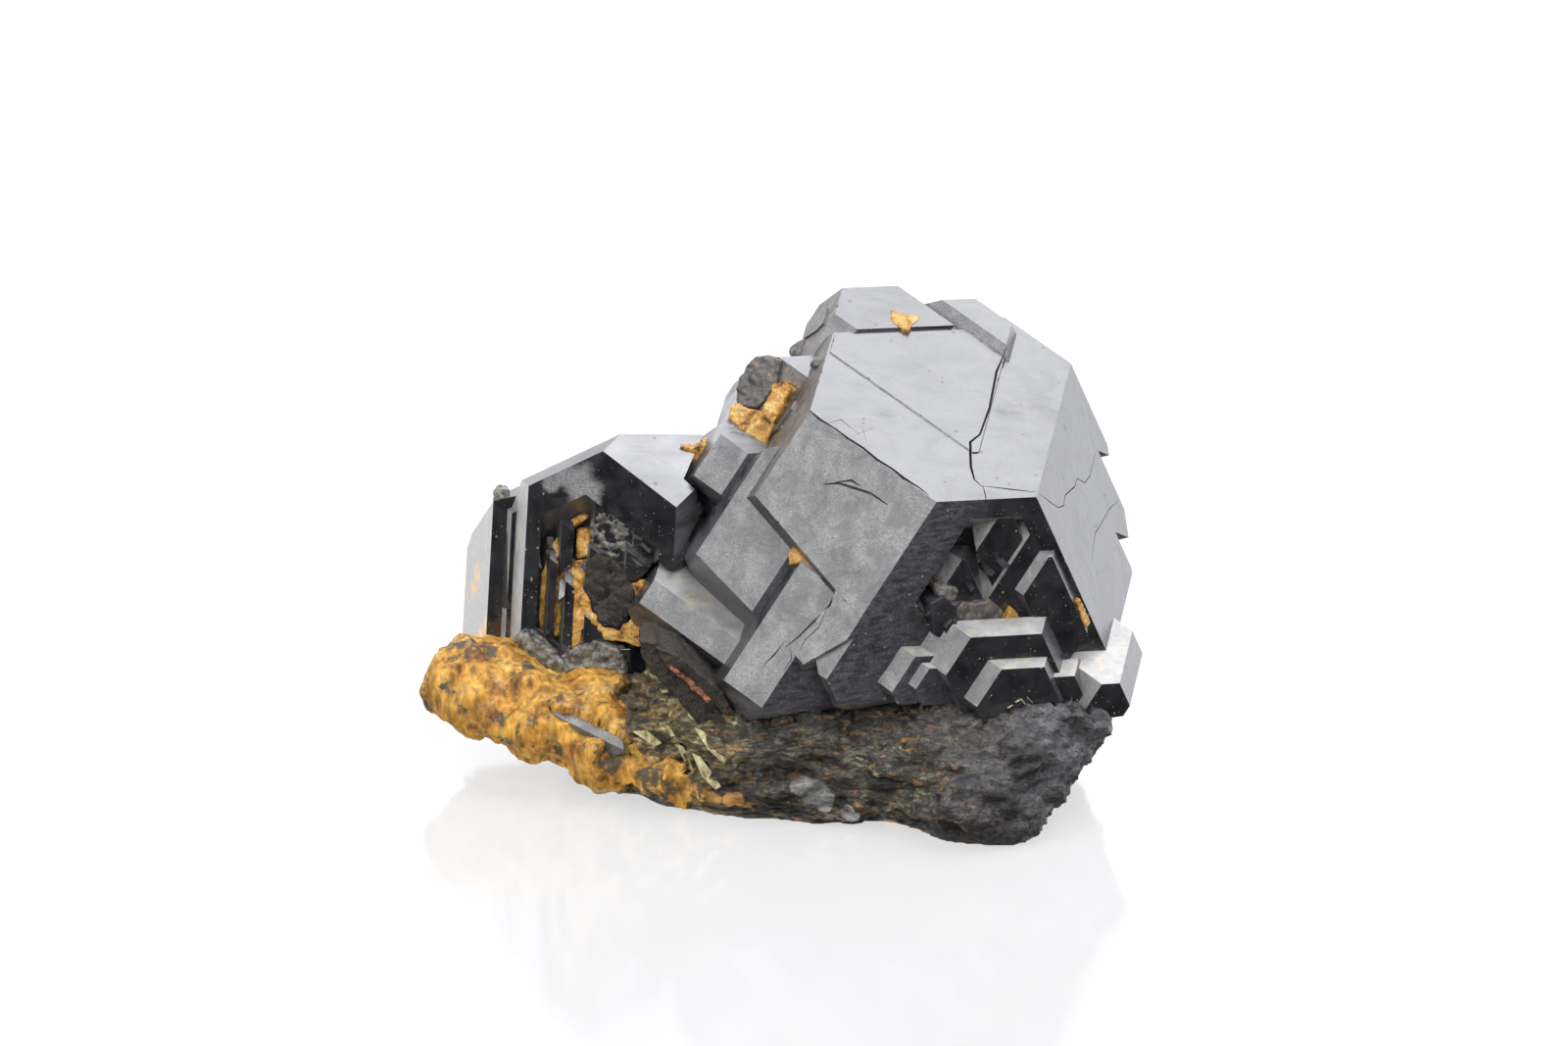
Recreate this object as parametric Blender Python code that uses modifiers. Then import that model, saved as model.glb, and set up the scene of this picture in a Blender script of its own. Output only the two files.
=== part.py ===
"""A hand specimen of uraninite: black crystals on dark rock with an orange crust.

Units are metres in the scene and millimetres in the dimensions below.
The specimen rests on the plane z = 0. +X is its long side, -Y is its front.
"""
from math import radians

import bmesh
import bpy
from mathutils import Euler, Matrix, Vector, noise

MM = 0.001
GAP = 0.3               # clearance between neighbouring solids

# Crystal axes. Each crystal is measured from a corner of its group, along the group's three cube axes.
BIG_CORNER = (9.2, -10.7, 20.4)
BIG_TURN = (20, -25, -115)
LEFT_CORNER = (-6.7, -2.2, 17.4)
LEFT_TURN = (-39, -5, -166)
SEAT = 4.5              # the crystals end at this height, inside the rock
SEAT_STEP = 0.07        # each next crystal ends a little higher

# Octahedral faces, by the signs of their normals along the cube axes.
TOP = (1, 1, 1)
FRONT = (1, 1, -1)
TOP_LEFT = (1, -1, 1)
LOW_LEFT = (1, -1, -1)
TOP_BACK = (-1, 1, 1)
LOW_BACK = (-1, 1, -1)
BACK_LEFT = (-1, -1, 1)
BACK_LOW = (-1, -1, -1)

part = bpy.data.collections.new("uraninite")
cutters = bpy.data.collections.new("cutters")


def clear_scene():
    for old in list(bpy.data.objects):
        bpy.data.objects.remove(old, do_unlink=True)
    bpy.context.scene.collection.children.link(part)
    bpy.context.scene.collection.children.link(cutters)


def finish(name, color, roughness, metallic=0.0):
    material = bpy.data.materials.new(name)
    material.use_nodes = True
    shader = material.node_tree.nodes["Principled BSDF"]
    shader.inputs["Base Color"].default_value = (*color, 1.0)
    shader.inputs["Roughness"].default_value = roughness
    shader.inputs["Metallic"].default_value = metallic
    return material


def placed(corner, turn):
    """Matrix from a group's crystal axes in millimetres to the specimen in metres."""
    attitude = Euler([radians(angle) for angle in turn]).to_matrix().to_4x4()
    return Matrix.Translation(Vector(corner) * MM) @ attitude @ Matrix.Scale(MM, 4)


def add_object(name, mesh, collection, material=None):
    body = bpy.data.objects.new(name, mesh)
    collection.objects.link(body)
    if material:
        mesh.materials.append(material)
    if collection is cutters:
        body.hide_render = True
        body.display_type = "WIRE"
    return body


def cut_off(shape, point, direction):
    """Cut away what lies beyond a plane and close the cut."""
    whole = shape.verts[:] + shape.edges[:] + shape.faces[:]
    cut = bmesh.ops.bisect_plane(shape, geom=whole, plane_co=point, plane_no=direction, clear_outer=True)
    rim = [item for item in cut["geom_cut"] if isinstance(item, bmesh.types.BMEdge)]
    if rim:
        bmesh.ops.contextual_create(shape, geom=rim)


def cut_flat(shape, height):
    cut_off(shape, (0, 0, height), (0, 0, -1))


def crystal(name, spans, faces, frame, margin=0.0, seat=SEAT):
    """A block with spans along the cube axes, its corners cut by further faces (normal, distance)."""
    shape = bmesh.new()
    bmesh.ops.create_cube(shape, size=1.0)
    low = Vector([span[0] - margin for span in spans])
    high = Vector([span[1] + margin for span in spans])
    bmesh.ops.scale(shape, vec=high - low, verts=shape.verts)
    bmesh.ops.translate(shape, vec=(high + low) / 2, verts=shape.verts)
    for normal, distance in faces:
        direction = Vector(normal)
        reach = distance / direction.length + margin
        cut_off(shape, direction.normalized() * reach, direction)
    bmesh.ops.transform(shape, matrix=frame, verts=shape.verts)
    cut_flat(shape, (seat - margin) * MM)
    bmesh.ops.recalc_face_normals(shape, faces=shape.faces)
    mesh = bpy.data.meshes.new(name)
    shape.to_mesh(mesh)
    shape.free()
    return add_object(name, mesh, cutters)


def combine(body, tool, operation):
    step = body.modifiers.new(tool.name, "BOOLEAN")
    step.operation = operation
    step.object = tool
    step.solver = "MANIFOLD"        # the exact solver loses the body where many crystals meet


def settle(body):
    """Make the body's modifiers part of its mesh."""
    view = bpy.context.evaluated_depsgraph_get()
    view.update()
    mesh = bpy.data.meshes.new_from_object(body.evaluated_get(view))
    body.modifiers.clear()
    body.data = mesh


def crystals(blocks, frame, margin=0.0, seat=SEAT):
    made = []
    for count, (label, spans, faces) in enumerate(blocks):
        made.append(crystal(label, spans, faces, frame, margin, seat + count * SEAT_STEP))
    return made


def discard(bodies):
    for body in bodies:
        bpy.data.objects.remove(body)


def make_room(body, blocks, frame, seat=SEAT):
    """Cut room for a group of crystals into a neighbour, with the clearance all round."""
    rooms = crystals(blocks, frame, GAP, seat)
    for room in rooms:
        combine(body, room, "DIFFERENCE")
    settle(body)
    discard(rooms)


def make_room_for(body, neighbour):
    """Cut room for an uneven neighbour, swollen by the clearance."""
    room = add_object(neighbour.name + "_room", neighbour.data.copy(), cutters)
    swell = room.modifiers.new("clearance", "DISPLACE")
    swell.mid_level = 0.0
    swell.strength = 1.3 * GAP * MM
    combine(body, room, "DIFFERENCE")
    settle(body)
    discard([room])


def grow_group(name, blocks, hollow, inner, frame, material, seat=SEAT):
    """Crystals of one orientation, joined where they overlap; a hollow is cut in the first one."""
    whole, *others = crystals(blocks + inner, frame, 0.0, seat)
    cut = crystals([hollow], frame) if hollow else []
    for block in cut:
        combine(whole, block, "DIFFERENCE")
    for block in others:
        combine(whole, block, "UNION")
    settle(whole)
    discard(others + cut)
    whole.name = name
    cutters.objects.unlink(whole)
    part.objects.link(whole)
    whole.hide_render = False
    whole.display_type = "TEXTURED"
    whole.data.materials.clear()
    whole.data.materials.append(material)
    return whole


BIG_BLOCKS = [
    ("body", ((-20.2, 0), (-15, 4.7), (-14, 13.3)),
     [(TOP, 0), (FRONT, 0), (TOP_LEFT, 14.5), ((1, -1.6, -1), 15.5), (TOP_BACK, 22.8), (LOW_BACK, 27.4)]),
    ("middle_back", ((-20.7, -5), (-6, 4.66), (-0.1, 9)), [(TOP, -0.1), (TOP_BACK, 27.1)]),
    ("upper_back", ((-19.5, -5), (-4, 4.63), (5.0, 14)), [(TOP, -0.2), (TOP_BACK, 29.8)]),
    ("lower_face", ((-6, -0.04), (-13, -4), (-12, -2)),
     [(FRONT, -0.03), ((1, -1.6, -1), 24.0), ((0, 0.3, -1), 4.95), (BACK_LEFT, 3.4)]),
    ("lower_front", ((-8, -0.35), (-9.3, -3), (-10.45, -6)), [(FRONT, -0.06), (LOW_LEFT, 17.6)]),
    ("plateau", ((-18, -4.6), (-9, 1.4), (3.6, 13.1)), [(TOP, 0.15), (TOP_LEFT, 14.3)]),
    ("crown", ((-11.65, -7.0), (-11, -1), (6, 16.7)), [(TOP, 0.4), (TOP_LEFT, 15.0), (FRONT, -26.4)]),
    ("shoulder", ((-20.5, -12.2), (-4, 1.6), (2, 15.3)), [(TOP, 1.0), (TOP_BACK, 28.6)]),
    ("middle_block", ((-11, -1.5), (-18, -8), (-8, 6)),
     [(TOP_LEFT, 15.6), (FRONT, -11.2), ((1, -1.4, -1), 21.0)]),
    ("lower_block", ((-12, -0.5), (-17, -6), (-10.2, 2)),
     [(TOP_LEFT, 7.3), (FRONT, -3.9), (LOW_LEFT, 22.7), (TOP, -11.6)]),
    ("left_bar", ((-9, -2.5), (-22.5, -13), (-8, 1)),
     [(LOW_LEFT, 19.9), (TOP, -22.5), (TOP_LEFT, 17.2), (FRONT, -12.2)]),
    ("upper_block", ((-9.9, -3.0), (-18.1, -9), (0.2, 9)),
     [(TOP_LEFT, 19.3), (TOP, -9.4), (LOW_LEFT, 7.7), (FRONT, -22.1)]),
    ("side_block", ((-9, -5.2), (-16, -8), (4, 12.4)), [(TOP_LEFT, 18.7), (TOP, -3.5), (LOW_LEFT, 1.5)]),
    ("front_hexagon", ((-14, -5.38), (-3, 2.6), (-16, -8.5)),
     [(FRONT, 5), (BACK_LEFT, -1.5), (TOP, -14.6), (LOW_LEFT, 7.7), (LOW_BACK, 25.2), (BACK_LOW, 20.9)]),
    ("second_hexagon", ((-15, -8), (-1.1, 3.6), (-16, -9)),
     [(FRONT, 4.1), (TOP, -16.4), (LOW_BACK, 27.9), (BACK_LOW, 21.4)]),
    ("front_base", ((-13, -3.8), (-4.1, 2.85), (-16, -6.5)),
     [(FRONT, 3.5), (TOP, -12.1), (LOW_LEFT, 8.4), (BACK_LOW, 20.45)]),
    ("left_hexagon", ((-9, -3.4), (-6, -1.9), (-14, -7)),
     [(FRONT, 2.5), (TOP, -15.9), (LOW_LEFT, 11.2), (LOW_BACK, 14.5), (BACK_LOW, 19.8)]),
    ("left_base", ((-9, -2.9), (-7, -1.5), (-14, -6)),
     [(FRONT, 1.6), (TOP, -15.2), (LOW_LEFT, 13.05), (BACK_LOW, 20.2)]),
    ("corner_hexagon", ((-19, -10.8), (0, 5.75), (-16, -5)),
     [(FRONT, 5), (TOP, -16.8), (LOW_BACK, 30.8), (TOP_BACK, 14.2), (BACK_LOW, 21.8)]),
]

BIG_HOLLOW = ("hollow", ((-5.6, -2.2), (-4, 3.6), (-12, -1)),
              [(BACK_LEFT, 3.2), (TOP, -1.9), (LOW_LEFT, 6.2), (BACK_LOW, 13.0)])

BIG_INNER = [
    ("face_crystal", ((-14.2, -6.6), (-2.1, 4.4), (-11.2, -2)),
     [(FRONT, 1.0), (TOP, -5.75), (LOW_BACK, 22.9), (BACK_LOW, 17.4), (LOW_LEFT, -3.5)]),
    ("upper_step", ((-6.5, -3.68), (0.7, 3.1), (-5, -0.2)), [(FRONT, -0.3), (TOP, -2.1)]),
    ("lower_step", ((-6, -3.3), (-3.2, 0.0), (-7, -2)), [(FRONT, -0.35), (TOP, -6.55), (LOW_LEFT, 2.6)]),
    ("hollow_crystal", ((-8, -3.5), (-4.6, -0.95), (-10, -4)), [(FRONT, 0.3), (TOP, -10.9), (LOW_LEFT, 5.2)]),
]

LEFT_BLOCKS = [
    ("left_body", ((-4, 7.9), (-5.3, 7), (-17, 0)),
     [(TOP, 0), (TOP_LEFT, 8.0), (TOP_BACK, 0.2), (FRONT, 24)]),
    ("side_plate", ((0, 8.15), (-7.9, 3), (-21, -5)), [(TOP, -3.9), (TOP_LEFT, 5.0), (LOW_LEFT, 33.1)]),
    ("outer_plate", ((1, 8.95), (-7.5, 2.8), (-20.7, -7)),
     [(TOP, -5.6), ((0, -1, 0.26), 3.75), (LOW_LEFT, 32.6), (BACK_LOW, 15.1)]),
]

LEFT_HOLLOW = ("left_hollow", ((0.6, 7.1), (-2.4, 7.5), (-13, -2.4)),
               [(BACK_LOW, 3.2), (TOP_BACK, -1.4), (FRONT, 19.5)])


def lath(label, span, low_end, high_end, depth):
    """A thin plate standing in the left hollow, its front face a little behind the crystal's."""
    reach = 5.0
    return (label, (span, (low_end - reach, low_end), (high_end - reach, high_end)), [(TOP, -depth)])


LEFT_INNER = [
    lath("rim_lath", (6.8, 7.4), 2.0, -7.5, 1.0),
    lath("long_lath", (6.0, 6.4), 2.9, -6.7, 0.8),
    lath("low_lath", (5.0, 5.5), 4.1, -7.1, 0.7),
    lath("short_lath", (5.1, 5.8), 0.1, -5.0, 1.3),
    lath("six_sided", (2.0, 4.25), 4.3, -5.0, 1.0),
    lath("small_block", (3.0, 4.4), 4.4, -7.9, 0.6),
    lath("grey_plate", (1.8, 4.0), 0.8, -3.0, 1.6),
    lath("bright_step", (0.5, 1.9), 0.5, -2.75, 1.2),
    lath("low_step", (0.4, 2.3), 2.1, -3.9, 0.9),
]


def roughen(body, amount, grain, seed):
    """Move the surface in and out along its normals; layers lie flatter than they are wide."""
    shape = bmesh.new()
    shape.from_mesh(body.data)
    shape.normal_update()
    offset = Vector((seed, seed, seed))
    for vert in shape.verts:
        place = vert.co / MM / grain
        layered = Vector((place.x, place.y, 2.8 * place.z))
        swell = noise.noise(layered + offset) + 0.5 * noise.noise(2.3 * layered + offset)
        vert.co += vert.normal * swell * amount * MM
    cut_flat(shape, 0)
    bmesh.ops.triangulate(shape, faces=shape.faces)
    bmesh.ops.recalc_face_normals(shape, faces=shape.faces)
    shape.to_mesh(body.data)
    shape.free()


def lump(name, balls, planes, frame, mesh_size, material):
    """Ellipsoids (centre, radii) cut by planes (point, normal) and merged into one solid."""
    shape = bmesh.new()
    for centre, radii in balls:
        ball = bmesh.new()
        bmesh.ops.create_icosphere(ball, subdivisions=4, radius=1.0)
        bmesh.ops.scale(ball, vec=radii, verts=ball.verts)
        bmesh.ops.translate(ball, vec=centre, verts=ball.verts)
        for point, normal in planes:
            cut_off(ball, point, normal)
        single = bpy.data.meshes.new("ball")
        ball.to_mesh(single)
        ball.free()
        shape.from_mesh(single)
        bpy.data.meshes.remove(single)
    bmesh.ops.transform(shape, matrix=frame, verts=shape.verts)
    mesh = bpy.data.meshes.new(name)
    shape.to_mesh(mesh)
    shape.free()
    body = add_object(name, mesh, part)
    merge = body.modifiers.new("merge", "REMESH")
    merge.mode = "VOXEL"
    merge.voxel_size = mesh_size * MM
    settle(body)
    body.data.materials.clear()
    body.data.materials.append(material)
    return body


MATRIX_BALLS = [
    ((4, -2.5, 3), (13, 9.8, 6.9)), ((11.5, -2.5, 3.5), (9.5, 13, 6)), ((12, -11.1, 2.4), (5.3, 5.2, 3.8)),
    ((-2, 1.5, 3), (12, 12, 6.5)), ((0, -5.5, 3), (8, 6.0, 5.6)), ((15, -4.5, 5.5), (6.5, 8, 3)),
    ((3.5, -7.2, 3.4), (5.2, 5.2, 4.9)),
]
MATRIX_PLANES = [
    ((15.3, 0, 0), (0.76, 0, -0.65)), ((0, 0, 8.5), (0, 0, 1)), ((0, -12.5, 6.8), (0, -0.29, 0.96)),
]
CRUST_BALLS = [
    ((-17.3, 0, 4.7), (4.8, 5.5, 2.8)), ((-19.5, -0.8, 5.6), (2.3, 3.8, 3.0)),
    ((-13, -3, 4.2), (6, 4.5, 2.9)), ((-9, -5.5, 3.1), (5, 3.6, 2.9)), ((-5, -8.1, 2.1), (4.4, 2.6, 2.1)),
]
BAR_CENTRE = (-12.0, -7.2, 4.5)
BAR_TURN = (20, 15, -32)

# Orange fillings: which group's axes, the place along them and the radii.
FILLINGS = [
    ("top_filling", "big", (-9.6, -4.2, 13.4), (1.2, 1.2, 0.8)),
    ("upper_filling", "big", (-5.6, -12.1, 8.8), (1.5, 2.0, 1.8)),
    ("notch_filling", "big", (-1.0, -9.6, -1.0), (0.9, 1.1, 1.2)),
    ("front_filling", "big", (-7.6, 0.2, -6.5), (1.7, 1.2, 1.0)),
    ("hollow_filling", "left", (1.6, 4.0, -7.4), (1.3, 1.6, 1.8)),
]


def main():
    clear_scene()
    frames = {"big": placed(BIG_CORNER, BIG_TURN), "left": placed(LEFT_CORNER, LEFT_TURN)}
    world = Matrix.Scale(MM, 4)
    black = finish("black_crystal", (0.05, 0.05, 0.055), 0.25, 0.3)
    grey = finish("grey_bar", (0.12, 0.12, 0.12), 0.4)
    rock = finish("dark_rock", (0.07, 0.065, 0.06), 0.6)
    amber = finish("orange_crust", (0.55, 0.28, 0.06), 0.7)
    ochre = finish("orange_filling", (0.6, 0.32, 0.08), 0.8)
    big_all = BIG_BLOCKS + BIG_INNER
    left_all = LEFT_BLOCKS + LEFT_INNER

    grow_group("large_crystals", BIG_BLOCKS, BIG_HOLLOW, BIG_INNER, frames["big"], black)
    left_crystal = grow_group("left_crystal", LEFT_BLOCKS, LEFT_HOLLOW, LEFT_INNER, frames["left"], black)
    make_room(left_crystal, BIG_BLOCKS, frames["big"])

    matrix = lump("matrix", MATRIX_BALLS, MATRIX_PLANES, world, 1.3, rock)
    roughen(matrix, 0.9, 4.0, 3.0)
    crust = lump("orange_crust", CRUST_BALLS, [], world, 1.1, amber)
    roughen(crust, 0.7, 2.6, 11.0)
    make_room_for(crust, matrix)
    for body in (matrix, crust):
        make_room(body, big_all, frames["big"])
        make_room(body, left_all, frames["left"])

    bar_frame = placed(BAR_CENTRE, BAR_TURN)
    bar = [("bar_crystal", ((-2.9, 2.9), (-0.38, 0.38), (-0.45, 0.45)), [(TOP, 3.1), (LOW_LEFT, 3.1)])]
    make_room(crust, bar, bar_frame, 0)
    grow_group("bar_crystal", bar, None, [], bar_frame, grey, 0)

    for name, group, place, radii in FILLINGS:
        filling = lump(name, [(place, radii)], [], frames[group], 0.45, ochre)
        roughen(filling, 0.25, 1.2, 5.0)
        make_room(filling, big_all, frames["big"])
        make_room(filling, left_all, frames["left"])


main()
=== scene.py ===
"""Looks of the uraninite specimen: finishes, cracks, growth steps, rock relief, crust, light and camera.

Lengths are in millimetres and are turned into metres where they meet the scene. Outlines and marks are pixels of
the photograph, set on planes that are named by a direction and a distance along it.
"""
from math import cos, radians, sin
from random import Random

import bpy
from mathutils import Euler, Matrix, Vector, noise
from mathutils.bvhtree import BVHTree


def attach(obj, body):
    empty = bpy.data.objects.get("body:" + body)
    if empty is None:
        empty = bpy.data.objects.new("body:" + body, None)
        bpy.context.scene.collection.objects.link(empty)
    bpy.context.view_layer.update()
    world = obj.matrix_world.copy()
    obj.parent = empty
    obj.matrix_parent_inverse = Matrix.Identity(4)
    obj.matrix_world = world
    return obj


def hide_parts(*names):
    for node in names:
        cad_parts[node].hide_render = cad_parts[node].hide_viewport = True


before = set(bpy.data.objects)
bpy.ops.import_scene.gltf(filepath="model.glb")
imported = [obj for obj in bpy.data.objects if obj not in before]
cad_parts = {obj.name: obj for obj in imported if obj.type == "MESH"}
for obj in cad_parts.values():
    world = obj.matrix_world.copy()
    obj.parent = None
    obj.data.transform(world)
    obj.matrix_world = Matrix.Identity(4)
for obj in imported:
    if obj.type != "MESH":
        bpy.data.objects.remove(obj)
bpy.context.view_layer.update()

MM = 0.001

# The photograph: its size in pixels, and the camera that saw the specimen
PHOTO = (1600, 1067)
SENSOR = 36.0
LENS = 225.0
LOOK_DOWN = 18.0
CAMERA_AWAY = 600.0
AIM = Vector((0, -2.5, 16.4))

# Crystal axes, as in the solids: the corner of each group and its turn
BIG_CORNER = (9.2, -10.7, 20.4)
BIG_TURN = (20, -25, -115)
LEFT_CORNER = (-6.7, -2.2, 17.4)
LEFT_TURN = (-39, -5, -166)

# Directions of crystal faces, in crystal axes
TOP = Vector((1, 1, 1))
FRONT = Vector((1, 1, -1))
LEFT = Vector((1, 0, 0))
RIGHT = Vector((0, 1, 0))
UP = Vector((0, 0, 1))
SKIN = Vector((1, -1, 1))  # the face on the upper left of the big crystal

# Upright planes across the specimen, by their distance behind its middle and in front of it
BACK_WALL = Vector((0, 1, 0))
FRONT_WALL = Vector((0, -1, 0))


def placed(corner, turn):
    """Matrix from a group's crystal axes in millimetres to the specimen in metres."""
    attitude = Euler([radians(angle) for angle in turn]).to_matrix().to_4x4()
    return Matrix.Translation(Vector(corner) * MM) @ attitude @ Matrix.Scale(MM, 4)


BIG = placed(BIG_CORNER, BIG_TURN)
SMALL = placed(LEFT_CORNER, LEFT_TURN)
WORLD = Matrix.Scale(MM, 4)


# Camera

def camera_place():
    down = radians(LOOK_DOWN)
    return AIM + CAMERA_AWAY * Vector((0, -cos(down), sin(down)))


def add_camera():
    data = bpy.data.cameras.new("camera")
    data.lens = LENS
    data.sensor_width = SENSOR
    data.clip_start = 0.05
    data.clip_end = 20
    camera = bpy.data.objects.new("camera", data)
    camera.location = camera_place() * MM
    camera.rotation_euler = (radians(90 - LOOK_DOWN), 0, 0)
    bpy.context.scene.collection.objects.link(camera)
    bpy.context.scene.camera = camera


def sight(pixel):
    """Direction in the specimen's frame in which the camera sees a pixel of the photograph."""
    down = radians(LOOK_DOWN)
    across = (pixel[0] - PHOTO[0] / 2) * SENSOR / PHOTO[0] / LENS
    rise = (PHOTO[1] / 2 - pixel[1]) * SENSOR / PHOTO[0] / LENS
    ahead = Vector((0, cos(down), -sin(down)))
    upward = Vector((0, sin(down), cos(down)))
    return (ahead + across * Vector((1, 0, 0)) + rise * upward).normalized()


def seen_on(pixel, axes, normal, distance):
    """The point on a crystal plane that the camera sees at a pixel, in crystal axes."""
    to_crystal = axes.inverted()
    eye = to_crystal @ (camera_place() * MM)
    ray = to_crystal.to_3x3() @ sight(pixel)
    return eye + ray * ((distance - normal.dot(eye)) / normal.dot(ray))


def seen_outline(pixels, axes, normal, distance):
    return [seen_on(pixel, axes, normal, distance) for pixel in pixels]


# Modelling helpers

VERTICES_MEET = 0.002
ROUNDED_FROM = 20  # degrees between two faces
STAYS_FLAT = 0.4  # the underside up to this height is left as it is
CRACK_END = 0.3  # share of its width that a crack keeps at its ends
CRACK_UNEVEN = (0.7, 1.2)


def deselect():
    if bpy.context.object and bpy.context.object.mode != "OBJECT":
        bpy.ops.object.mode_set(mode="OBJECT")
    bpy.ops.object.select_all(action="DESELECT")


def take(body):
    deselect()
    body.select_set(True)
    bpy.context.view_layer.objects.active = body


def edit(body):
    take(body)
    bpy.ops.object.mode_set(mode="EDIT")
    bpy.ops.mesh.select_all(action="SELECT")


def done_editing():
    bpy.ops.object.mode_set(mode="OBJECT")


def merged_copy(node):
    """A copy of a CAD node with its loose triangles joined."""
    body = bpy.data.objects.new(node + "_detail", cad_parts[node].data.copy())
    bpy.context.scene.collection.objects.link(body)
    body.data.materials.clear()
    edit(body)
    bpy.ops.mesh.remove_doubles(threshold=VERTICES_MEET * MM)
    bpy.ops.mesh.normals_make_consistent(inside=False)
    done_editing()
    return body


def modify(body, kind, **settings):
    """Add a modifier and apply it."""
    step = body.modifiers.new("step", kind)
    for name, value in settings.items():
        setattr(step, name, value)
    take(body)
    bpy.ops.object.modifier_apply(modifier=step.name)


def combine(body, tool, way):
    """Cut the tool from the body by the way DIFFERENCE, or add it by UNION."""
    modify(body, "BOOLEAN", operation=way, solver="MANIFOLD", object=tool)
    bpy.data.objects.remove(tool)


def refine(body, mesh_size):
    modify(body, "REMESH", mode="VOXEL", voxel_size=mesh_size * MM)


def round_edges(body, width):
    modify(body, "BEVEL", width=width * MM, segments=2, limit_method="ANGLE", angle_limit=radians(ROUNDED_FROM))


def shade(body, smooth=True):
    take(body)
    if smooth:
        bpy.ops.object.shade_smooth()
    else:
        bpy.ops.object.shade_flat()


def paint(body, *materials):
    body.data.materials.clear()
    for material in materials:
        body.data.materials.append(material)
    return body


def join(name, bodies):
    deselect()
    for body in bodies:
        body.select_set(True)
    bpy.context.view_layer.objects.active = bodies[0]
    bpy.ops.object.join()
    whole = bpy.context.object
    whole.name = name
    return whole


def prism(name, outline, axes, rise):
    """A flat outline in crystal axes, drawn out by the vector rise."""
    deselect()
    bpy.ops.mesh.primitive_circle_add(vertices=len(outline), fill_type="NGON")
    body = bpy.context.object
    body.name = name
    for vert, place in zip(body.data.vertices, outline):
        vert.co = place
    edit(body)
    bpy.ops.mesh.extrude_region_move(TRANSFORM_OT_translate={"value": rise})
    bpy.ops.mesh.select_all(action="SELECT")
    bpy.ops.mesh.normals_make_consistent(inside=False)
    done_editing()
    body.data.transform(axes)
    return body


def ribbon(path, normal, width, rng):
    """Outline of a crack: a path widened to both sides, narrow at its ends and uneven between."""
    one_side = []
    other_side = []
    for count, place in enumerate(path):
        before = path[max(count - 1, 0)]
        after = path[min(count + 1, len(path) - 1)]
        sideways = normal.cross(after - before).normalized()
        at_end = count in (0, len(path) - 1)
        half = width / 2 * (CRACK_END if at_end else rng.uniform(*CRACK_UNEVEN))
        one_side.append(place + sideways * half)
        other_side.append(place - sideways * half)
    return one_side + other_side[::-1]


def crack(normal, distance, width, depth, pixels, rng):
    """Cutter for a crack that follows photo pixels across a face of the big crystals."""
    unit = normal.normalized()
    path = seen_outline(pixels, BIG, normal, distance)
    outline = [place + unit * depth for place in ribbon(path, unit, width, rng)]
    return prism("crack", outline, BIG, -2 * depth * unit)


def weather(body, steps):
    """Move the surface along its normals by layered noise; steps are (size, amount, flatness, seed)."""
    mesh = body.data
    moves = []
    for vert in mesh.vertices:
        move = 0.0
        for size, amount, flat, seed in steps:
            place = vert.co / MM / size
            move += amount * noise.noise(Vector((place.x + seed, place.y - seed, flat * place.z + seed)))
        moves.append(vert.normal * move * MM)
    for vert, move in zip(mesh.vertices, moves):
        if vert.co.z > STAYS_FLAT * MM:
            vert.co += move
            vert.co.z = max(vert.co.z, 0.0)


def slab(name, pixels, axes, normal, distance, thickness, material, skin=None, mesh_size=0.1):
    """A flat piece whose front outline follows photo pixels on a plane.

    skin is the noise of its rough surface as weather takes it, or how far its edges are rounded, or None.
    """
    outline = seen_outline(pixels, axes, normal, distance)
    body = paint(prism(name, outline, axes, -thickness * normal.normalized()), material)
    if isinstance(skin, list):
        refine(body, mesh_size)
        weather(body, skin)
        shade(body)
    elif skin:
        round_edges(body, skin)
    return body


def rough_ball(name, ball, axes, normal, material, steps):
    """A rough lump; ball holds its centre's pixel, its distance along the plane's direction and its radii."""
    pixel, distance, radii = ball
    deselect()
    bpy.ops.mesh.primitive_ico_sphere_add(subdivisions=5, radius=MM)
    body = bpy.context.object
    body.name = name
    place = axes @ seen_on(pixel, axes, normal, distance)
    body.data.transform(Matrix.Translation(place) @ Matrix.Diagonal((*radii, 1)))
    weather(body, steps)
    shade(body)
    return paint(body, material)


# Material helpers: each node goes into the tree of the socket that feeds it

RIM_WOBBLE = 1.2  # how much the noise moves the rim of a blotch, by its radius
RIM_MIDDLE = 0.4
DUST_SOLID = 0.12  # a grain is solid up to here, by the size of its cell
DUST_RADIUS = 0.2


def is_socket(value):
    return isinstance(value, bpy.types.NodeSocket)


def feed(node, values):
    """Link or set a node's inputs, by name or number."""
    for name, value in values.items():
        if is_socket(value):
            node.id_data.links.new(value, node.inputs[name])
        else:
            node.inputs[name].default_value = value


def add_node(kind, values, **settings):
    """A node of a kind; its settings come before its inputs."""
    tree = next(value.id_data for value in values.values() if is_socket(value))
    node = tree.nodes.new("ShaderNode" + kind)
    for name, value in settings.items():
        setattr(node, name, value)
    feed(node, values)
    return node


def calc(way, *values):
    """Arithmetic on sockets and numbers."""
    return add_node("Math", dict(enumerate(values)), operation=way).outputs[0]


def rise(value, low, high, top=1.0):
    """0 where a value is low, and 1 or the given top where it is high."""
    return add_node("MapRange", {"Value": value, "From Min": low, "From Max": high, "To Max": top}).outputs[0]


def new_material(name):
    """A material, and the place on the specimen that its noises read, in metres."""
    material = bpy.data.materials.new(name)
    material.use_nodes = True
    return material, material.node_tree.nodes.new("ShaderNodeTexCoord").outputs["Object"]


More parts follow.
